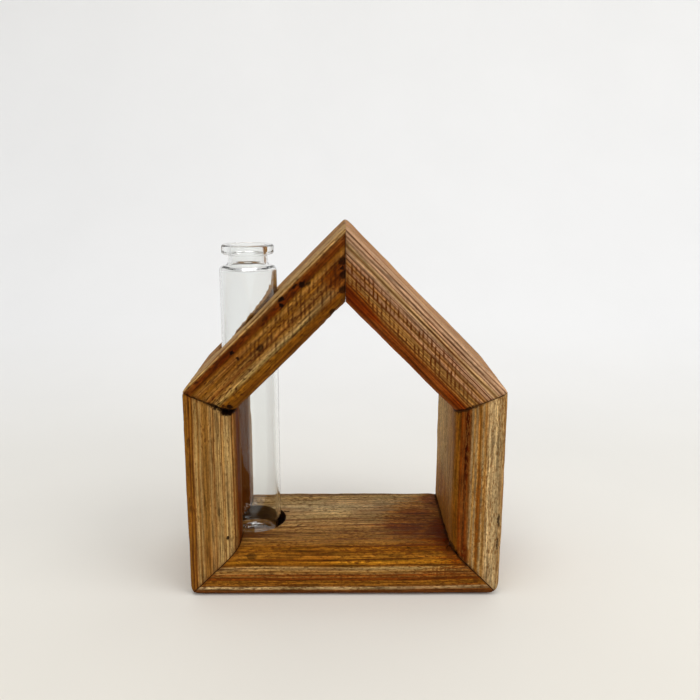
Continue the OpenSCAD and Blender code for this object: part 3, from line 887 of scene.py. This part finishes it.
rightRafterPlan = {
    "node": "right_rafter", "slot": "right_rafter_wood", "seed": 52, "ragged": (0.5, 0.2),
    "frayDark": (0.8, 0), "glueAndGapShadeDark": (0.7, 0.3),
    "start": (59.5, 81), "heading": 135, "length": 84.146, "mitres": (67.5, 45), "corners": (3, 1.5),
    "bored": False, "voxel": 0.56,
    "chips": [(6.6, 1, 18.6, 1.2, 2.6, 1)],
    # the mark paints the chip's hollow dark: partly dirt, partly painted shade
    "marks": [(6.6, 1, 18.6, 1.2, 2.4, 0.7)],
    "stains": [(64, 0, 15.5, 14, 4, 0.6), (8, 0, 16.5, 12, 2.4, 0.5), (40, 0, 17.5, 18, 1.6, 0.5)],
    "bradPits": [(52.5, -19.33, 86.5, 0), (52.5, 19.33, 86.5, 0), (6.01, 19.33, 134.49, 45)],
    "grain": {
        "lean": 0.002, "tilt": -0.3, "wander": 1.6,
        "ringGap": 1.3, "ringWeak": 0.78, "ringStrong": 1, "ringAside": 0.7, "lateTone": "madder",
        "fibre": 0.52, "mottle": 0.24, "dirt": "cocoa", "dashCrowd": 0.03, "dashes": 0.4,
        "cloudDark": "d0a080", "cloudMid": "f4eee8", "cloudLight": "fff4e4", "cloudShare": 0.5,
        "sawPatch": (42, 10.5, 40, 4.6), "sawDark": 1, "mitreDark": 0.5,
        "bands": [
            (-18, "rose"), (-13, "tan"), (-9, "rose"), (-5, "tan"), (-1.5, "blush"), (0.9, "blush"),
            (3, "blush"), (4.4, "wheat"), (5.6, "blush"), (7.4, "rose"), (8.6, "honey"), (9.8, "rose"),
            (10.6, "honey"), (11.2, "tan"), (11.9, "honey"), (12.5, "tan"), (13.1, "honey"),
            (13.7, "honey"), (14.6, "rust"), (16, "sienna"), (17, "rust"), (18.2, "sienna"),
            (19, "rust"),
        ],
    },
}
finishBoard("Right_rafter_board", rightRafterPlan)

vialPlan = {
    "axis": (houseShape["boreX"], 0), "foot": houseShape["seatHeight"],
    "length": 120, "radius": 11, "wall": 1.2, "segments": 128,
    # the dimple under the foot as (radius, height), from next to the axis outwards
    "dimple": [(0.6, 0.8), (2.5, 0.71), (4.4, 0.5), (6.2, 0.22), (7.65, 0.02), (8.4, 0)],
    "dimpleTip": 0.02,
    "footRound": 2, "floorAt": 2.4, "floorRound": 2.4, "floor": [(7, 2.38), (4, 2.44), (0.6, 2.46)],
    "shoulderRound": 2, "shoulderFoot": 110.1, "shoulderInside": 110,
    "neckRadius": 7.6, "neckAt": 113.5,
    "lipRadius": 10, "lipFoot": 116.4, "lipRound": 0.8, "underLip": 0.6,
    "mouthRadius": 6.3, "mouthRound": 0.5,
    "tint": "fbfcfb", "ior": 1.47,
    "rippleScale": (600, 600, 14), "rippleShare": 0.15, "rippleDeep": 0.3,
}


def arcPoints(centre, radius, start, end, steps=7):
    return [(centre[0] + radius * math.cos(math.radians(start + (end - start) * i / steps)),
             centre[1] + radius * math.sin(math.radians(start + (end - start) * i / steps)))
            for i in range(steps + 1)]


def vialProfile(plan):
    # half section of the glass, from under the foot, up the outside, over the lip and down inside;
    # the points that stand wide, narrow or tight of an arc keep the straight run beyond it straight
    outer, top = plan["radius"], plan["length"]
    inner = outer - plan["wall"]
    neck, mouth, lip = plan["neckRadius"], plan["mouthRadius"], plan["lipRadius"]
    footRound, lipRound, mouthRound = plan["footRound"], plan["lipRound"], plan["mouthRound"]
    underLip, underLipAt = plan["underLip"], plan["lipFoot"] - plan["underLip"]
    floorRound, floorTurn = plan["floorRound"], plan["floorAt"] + plan["floorRound"]
    shoulder = outer - plan["shoulderRound"]
    shoulderFoot, shoulderInside, neckAt = plan["shoulderFoot"], plan["shoulderInside"], plan["neckAt"]
    lipBottom, lipTop = plan["lipFoot"] + lipRound, top - lipRound
    wide, narrow, tight = 0.4, 0.3, 0.1
    points = plan["dimple"] + arcPoints((outer - footRound, footRound), footRound, -90, 0)
    points += [(outer, footRound + wide), (outer, shoulderFoot - wide)]
    points += arcPoints((shoulder, shoulderFoot), plan["shoulderRound"], 0, 90)
    points += arcPoints((shoulder, neckAt), shoulder - neck, 262, 180)
    points += [(neck, underLipAt - tight)]
    points += arcPoints((neck + underLip, underLipAt), underLip, 170, 90, 4)
    points += arcPoints((lip - lipRound, lipBottom), lipRound, -90, 0)
    points += [(lip, lipBottom + narrow), (lip, lipTop - narrow)]
    points += arcPoints((lip - lipRound, lipTop), lipRound, 0, 90)
    points += [(lip - lipRound - narrow, top), (mouth + mouthRound + narrow, top)]
    points += arcPoints((mouth + mouthRound, top - mouthRound), mouthRound, 90, 180, 4)
    points += [(mouth, top - mouthRound - narrow), (mouth, neckAt + narrow)]
    points += arcPoints((shoulder, neckAt), shoulder - mouth, 180, 270)
    points += arcPoints((shoulder, shoulderInside), inner - shoulder, 82, 0, 4)
    points += [(inner, shoulderInside - wide), (inner, floorTurn + 2 * tight)]
    points += arcPoints((inner - floorRound, floorTurn), floorRound, 0, -90)
    return points + plan["floor"]


def drawnGlass(name, plan):
    # clear borosilicate tube, fire polished: smooth and faintly grey, with slow ripples down its length
    material, tree, shader, place = newMaterial(name)
    stretched = addNode(tree, "ShaderNodeMapping", {"Vector": place, "Scale": plan["rippleScale"]})
    ripple = addNode(tree, "ShaderNodeTexNoise", {"Vector": stretched, "Scale": 1, "Detail": 1})
    bump = addNode(tree, "ShaderNodeBump", {
        "Height": ripple, "Strength": plan["rippleShare"], "Distance": plan["rippleDeep"] * mm})
    setInputs(tree, shader, {
        "Base Color": hexColour(plan["tint"]), "Transmission Weight": 1, "Roughness": 0,
        "IOR": plan["ior"], "Normal": bump})
    return material


def blowVial(name, plan):
    x, y = plan["axis"]
    profile = vialProfile(plan)
    firstRadius, firstHeight = profile[0]
    bottom = (plan["foot"] + firstHeight) * mm
    bpy.ops.object.select_all(action="DESELECT")
    bpy.ops.mesh.primitive_circle_add(vertices=plan["segments"], radius=firstRadius * mm,
                                      location=(x * mm, y * mm, bottom))
    vial = bpy.context.object
    vial.name = name
    bakePlace(vial)
    bpy.ops.object.mode_set(mode="EDIT")
    bpy.ops.mesh.select_mode(type="EDGE")
    bpy.ops.mesh.select_all(action="SELECT")
    # one ring of points is drawn on along the section, and narrowed or widened at each step
    radius, height = firstRadius, firstHeight
    for nextRadius, nextHeight in profile[1:]:
        rise = (nextHeight - height) * mm
        bpy.ops.mesh.extrude_region_move(TRANSFORM_OT_translate={"value": (0, 0, rise)})
        share = nextRadius / radius
        bpy.ops.transform.resize(value=(share, share, 1), center_override=(x * mm, y * mm, 0))
        radius, height = nextRadius, nextHeight
    # the floor inside closes to a point, and so does the dimple under the foot
    bpy.ops.mesh.extrude_region_move(TRANSFORM_OT_translate={"value": (0, 0, 0)})
    bpy.ops.mesh.merge(type="CENTER")
    centre = Vector((x * mm, y * mm))
    pickEdges(vial, lambda a, b: max(abs(p.z - bottom) + abs((p.xy - centre).length - firstRadius * mm)
                                     for p in (a, b)) < near)
    bpy.ops.mesh.extrude_region_move(TRANSFORM_OT_translate={"value": (0, 0, plan["dimpleTip"] * mm)})
    bpy.ops.mesh.merge(type="CENTER")
    bpy.ops.mesh.select_all(action="SELECT")
    bpy.ops.mesh.normals_make_consistent(inside=False)
    bpy.ops.object.mode_set(mode="OBJECT")
    bpy.ops.object.shade_smooth()
    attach(vial, "vial")
    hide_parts("glass_vial")
    vial.data.materials.append(drawnGlass("Clear_drawn_borosilicate_glass", plan))
    vial.visible_shadow = False  # so thin and clear a wall throws hardly any shadow
    print(name, "ready with", len(vial.data.polygons), "faces")


blowVial("Glass_bud_vial", vialPlan)

bradPlan = {
    "bright": "b9b6b0", "tarnish": "6d655b", "spotSize": 1.1,
    "tarnishAt": 0.42, "brightAt": 0.6,
    "dull": 0.62, "polished": 0.28,
    "pitShare": 0.4, "pitDeep": 0.06,
}


def bradSteel(name, plan):
    # plain drawn steel wire, cut and headed cold: bright grey, tarnished in spots by the damp wood
    material, tree, shader, place = newMaterial(name)
    spots = addNode(tree, "ShaderNodeTexNoise", {
        "Vector": place, "Scale": 1 / (plan["spotSize"] * mm), "Detail": 3})
    tint = addNode(tree, "ShaderNodeValToRGB", {0: spots}, stops=[
        (plan["tarnishAt"], hexColour(plan["tarnish"])), (plan["brightAt"], hexColour(plan["bright"]))])
    gloss = addNode(tree, "ShaderNodeMapRange", {
        "Value": spots, "To Min": plan["dull"], "To Max": plan["polished"]})
    bump = addNode(tree, "ShaderNodeBump", {
        "Height": spots, "Strength": plan["pitShare"], "Distance": plan["pitDeep"] * mm})
    setInputs(tree, shader, {"Base Color": tint, "Roughness": gloss, "Normal": bump, "Metallic": 1})
    return material


steel = bradSteel("Bright_drawn_steel_brad", bradPlan)
for node in ("left_base_brads", "right_base_brads", "left_eave_brads", "right_eave_brads", "ridge_brads"):
    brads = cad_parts[node]
    brads.data.materials.clear()
    brads.data.materials.append(steel)
print("brads ready")
